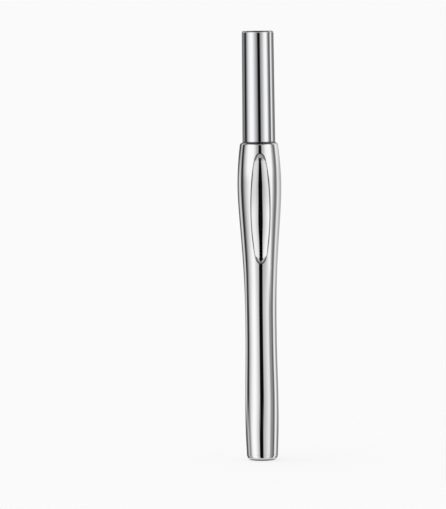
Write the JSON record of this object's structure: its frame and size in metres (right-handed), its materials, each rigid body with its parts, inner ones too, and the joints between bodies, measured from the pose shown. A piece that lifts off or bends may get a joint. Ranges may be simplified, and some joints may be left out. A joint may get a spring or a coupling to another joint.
{
  "type": "eyebrow pen",
  "caption": "Slim chrome liquid eyebrow pen with a swelling grip, an oval thumb recess, a forked fibre nib on a black stepped holder and a pull-off cap.",
  "frame": {"origin": "centre of the flat foot, on the surface that the pen stands on", "axes": "+Z along the pen's axis from the foot to the cap, -Y the side with the thumb recess, +X to the right seen from that side"},
  "size_m": [0.0144, 0.0138, 0.14],
  "materials": {
    "barrel_chrome": "mirror chrome plating on moulded ABS",
    "cap_chrome": "mirror chrome plating on moulded ABS",
    "holder_black": "high-gloss black moulding",
    "nib_fibre": "dark bonded fibre, dyed by the liquid",
    "wick_fibre": "bonded fibre rod",
    "tank_clear": "natural translucent polypropylene",
    "collector_white": "white moulded plastic",
    "soft_white": "soft natural polyethylene",
    "seal_rubber": "black rubber",
    "steel": "bright stainless steel"
  },
  "bodies": {
    "pen": {"barrel_shell": "barrel_chrome", "tail_plug": "barrel_chrome", "tank_stopper": "soft_white", "ink_tank": "tank_clear", "nib_holder": "holder_black", "holder_seal_ring": "seal_rubber", "fork_nib": "nib_fibre", "relay_wick": "wick_fibre", "ink_collector": "collector_white"},
    "cap": {"cap_shell": "cap_chrome", "inner_cap_retainer": "collector_white", "cap_spring": "steel"},
    "inner_cap": {"inner_cap": "soft_white"},
    "ball_1": {"mixing_ball_1": "steel"},
    "ball_2": {"mixing_ball_2": "steel"}
  },
  "joints": [
    {"name": "cap_pull", "type": "slide", "parent": "pen", "child": "cap", "axis": [0, 0, 1], "range_m": [0, 0.045]},
    {"name": "inner_cap_float", "type": "slide", "parent": "cap", "child": "inner_cap", "axis": [0, 0, 1], "range_m": [0, 0.0015], "stiffness_N_per_m": 200, "springref_m": -0.003, "deforming": ["cap_spring"]},
    {"name": "mixing_ball_1_slide", "type": "slide", "parent": "pen", "child": "ball_1", "axis": [0, 0, 1], "range_m": [0, 0.0415]},
    {"name": "mixing_ball_2_slide", "type": "slide", "parent": "pen", "child": "ball_2", "axis": [0, 0, 1], "range_m": [0, 0.0415]}
  ]
}
